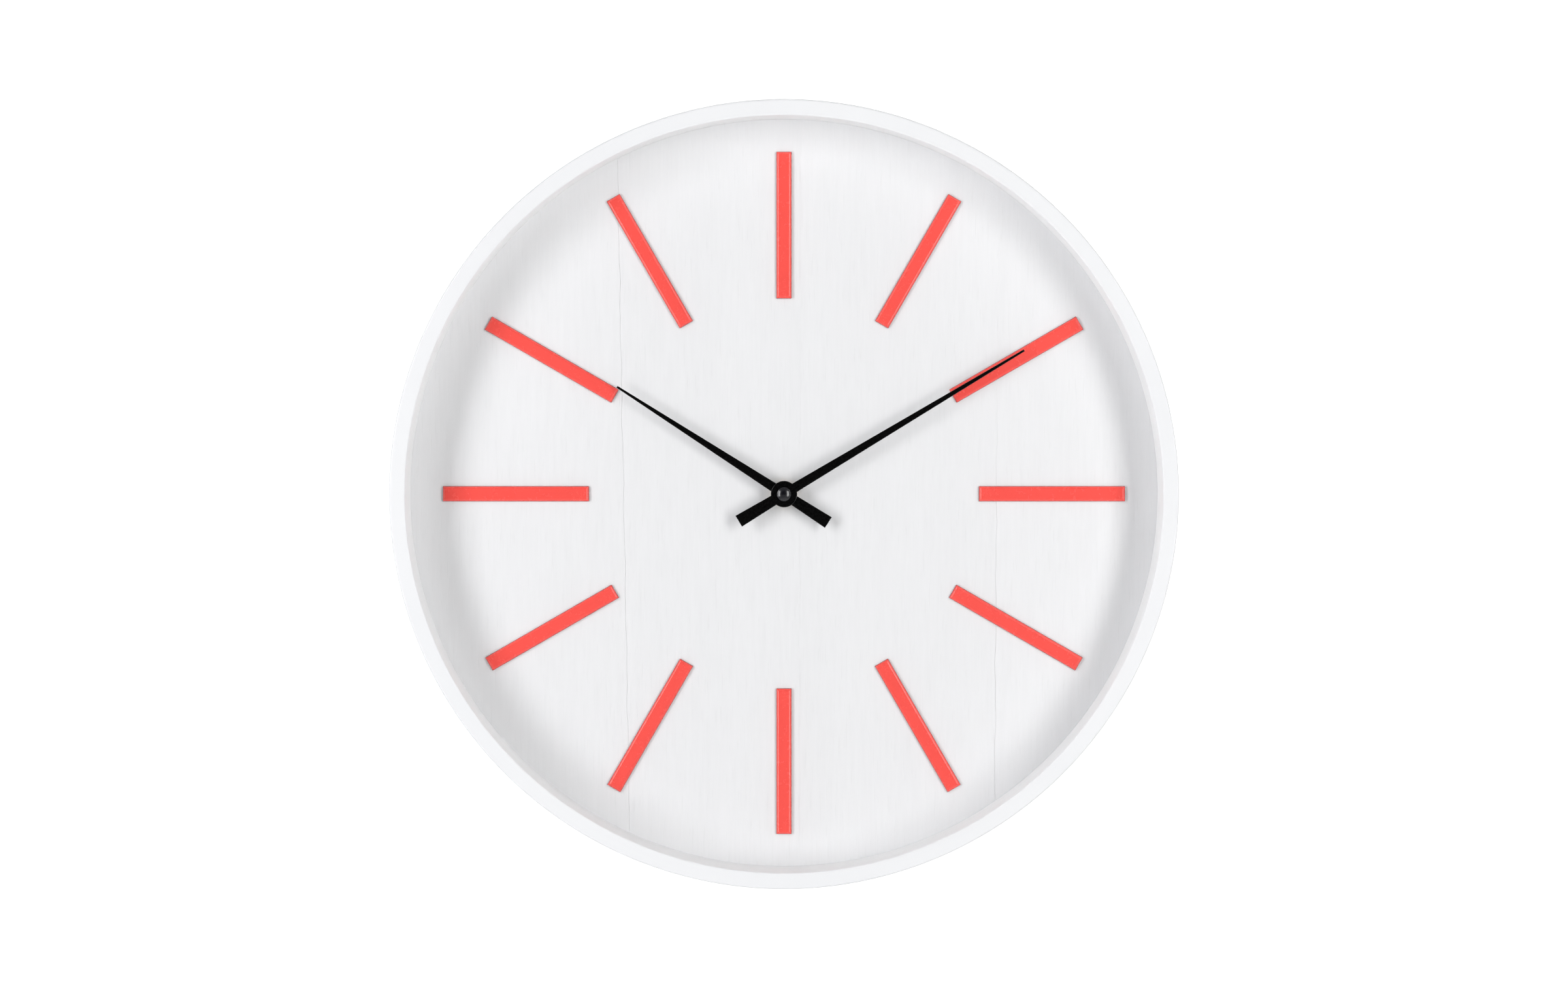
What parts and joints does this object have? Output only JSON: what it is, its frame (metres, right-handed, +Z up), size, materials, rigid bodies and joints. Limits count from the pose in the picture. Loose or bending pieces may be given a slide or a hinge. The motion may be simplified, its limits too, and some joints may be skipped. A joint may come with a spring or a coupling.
{
  "type": "wall clock",
  "caption": "Round wall clock: deep white ring, recessed white veneered dial with raised red hour strips, two black hands, battery quartz movement behind.",
  "frame": {"origin": "centre of the hanging keyhole's round entry, on the back face of its plate, in the plane of the wall", "axes": "+Z up, +Y into the wall, so the dial faces -Y, and +X to the right as seen from the front"},
  "size_m": [0.4, 0.052, 0.4],
  "materials": {
    "ring_lacquer": "smooth satin white lacquer on a moulded wood hoop",
    "dial_board": "raw fibreboard, cut edge",
    "white_veneer": "thin matt white paint over fine vertical grain",
    "red_strip": "satin coral red",
    "black_hands": "gloss black paint",
    "black_cap": "polished black",
    "block_wood": "sawn softwood",
    "rail_wood": "planed softwood",
    "zinc_steel": "bright zinc plate",
    "rubber": "matt",
    "brass": "turned",
    "movement_plastic": "fine spark texture",
    "wheel_plastic": "natural moulded acetal",
    "magnet": "sintered, fine matt",
    "core_steel": "stamped strip",
    "copper": "enamelled copper wire",
    "board_green": "solder resist",
    "crystal_can": "drawn metal can",
    "chip_black": "cast resin blob",
    "cell_steel": "nickel plate",
    "cell_sleeve": "plain dark shrink sleeve with a copper coloured band"
  },
  "bodies": {
    "case": {"case_ring": "ring_lacquer", "dial_board": "dial_board", "veneer_leaf_1": "white_veneer", "veneer_leaf_2": "white_veneer", "veneer_leaf_3": "white_veneer", "veneer_leaf_4": "white_veneer", "baton_1": "red_strip", "baton_2": "red_strip", "baton_3": "red_strip", "baton_4": "red_strip", "baton_5": "red_strip", "baton_6": "red_strip", "baton_7": "red_strip", "baton_8": "red_strip", "baton_9": "red_strip", "baton_10": "red_strip", "baton_11": "red_strip", "baton_12": "red_strip", "glue_blocks": "block_wood", "hanger_rail": "rail_wood", "hanger_plate": "zinc_steel", "hanger_screws": "zinc_steel", "rubber_washer": "rubber", "nut_washer": "brass", "dial_nut": "brass", "threaded_bush": "brass", "movement_front": "movement_plastic", "movement_cover": "movement_plastic", "train_plate": "movement_plastic", "stator": "core_steel", "coil_core": "core_steel", "coil_bobbin": "wheel_plastic", "coil_winding": "copper", "circuit_board": "board_green", "quartz_crystal": "crystal_can", "chip_cap": "chip_black", "contact_plus": "core_steel", "contact_minus": "core_steel"},
    "minute_set": {"minute_hand": "black_hands", "hand_cap": "black_cap", "minute_pipe": "brass"},
    "hour_set": {"hour_hand": "black_hands", "hour_wheel": "wheel_plastic"},
    "setting_set": {"minute_wheel": "wheel_plastic", "setting_knob": "wheel_plastic"},
    "centre_set": {"centre_wheel": "wheel_plastic"},
    "third_set": {"third_wheel": "wheel_plastic"},
    "seconds_set": {"seconds_wheel": "wheel_plastic"},
    "intermediate_set": {"intermediate_wheel": "wheel_plastic"},
    "rotor_set": {"rotor_pinion": "wheel_plastic", "rotor_magnet": "magnet"},
    "battery": {"battery_can": "cell_steel", "battery_sleeve": "cell_sleeve"}
  },
  "joints": [
    {"name": "minute_hand_turn", "type": "hinge", "parent": "case", "child": "minute_set", "pos_m": [0, 0, -0.156], "axis": [0, 1, 0], "continuous": true},
    {"name": "hour_hand_turn", "type": "hinge", "parent": "case", "child": "hour_set", "pos_m": [0, 0, -0.156], "axis": [0, 1, 0], "continuous": true},
    {"name": "setting_knob_turn", "type": "hinge", "parent": "case", "child": "setting_set", "pos_m": [-0.00779, 0, -0.1515], "axis": [0, 1, 0], "continuous": true},
    {"name": "rotor_turn", "type": "hinge", "parent": "case", "child": "rotor_set", "pos_m": [0.0053, 0, -0.14195], "axis": [0, 1, 0], "continuous": true},
    {"name": "intermediate_wheel_turn", "type": "hinge", "parent": "case", "child": "intermediate_set", "pos_m": [0, 0, -0.14725], "axis": [0, 1, 0], "continuous": true},
    {"name": "seconds_wheel_turn", "type": "hinge", "parent": "case", "child": "seconds_set", "pos_m": [0, 0, -0.156], "axis": [0, 1, 0], "continuous": true},
    {"name": "third_wheel_turn", "type": "hinge", "parent": "case", "child": "third_set", "pos_m": [0.00736, 0, -0.15175], "axis": [0, 1, 0], "continuous": true},
    {"name": "centre_wheel_turn", "type": "hinge", "parent": "case", "child": "centre_set", "pos_m": [0, 0, -0.156], "axis": [0, 1, 0], "continuous": true},
    {"name": "battery_slide", "type": "slide", "parent": "case", "child": "battery", "axis": [0, 1, 0], "range_m": [0, 0.02]}
  ],
  "couplings": [
    {"joint": "hour_hand_turn", "follows": "minute_hand_turn", "ratio": 0.083333},
    {"joint": "setting_knob_turn", "follows": "minute_hand_turn", "ratio": -0.33333},
    {"joint": "intermediate_wheel_turn", "follows": "rotor_turn", "ratio": -0.2},
    {"joint": "seconds_wheel_turn", "follows": "rotor_turn", "ratio": 0.033333},
    {"joint": "third_wheel_turn", "follows": "rotor_turn", "ratio": -0.0044444},
    {"joint": "centre_wheel_turn", "follows": "rotor_turn", "ratio": 0.00055556}
  ]
}
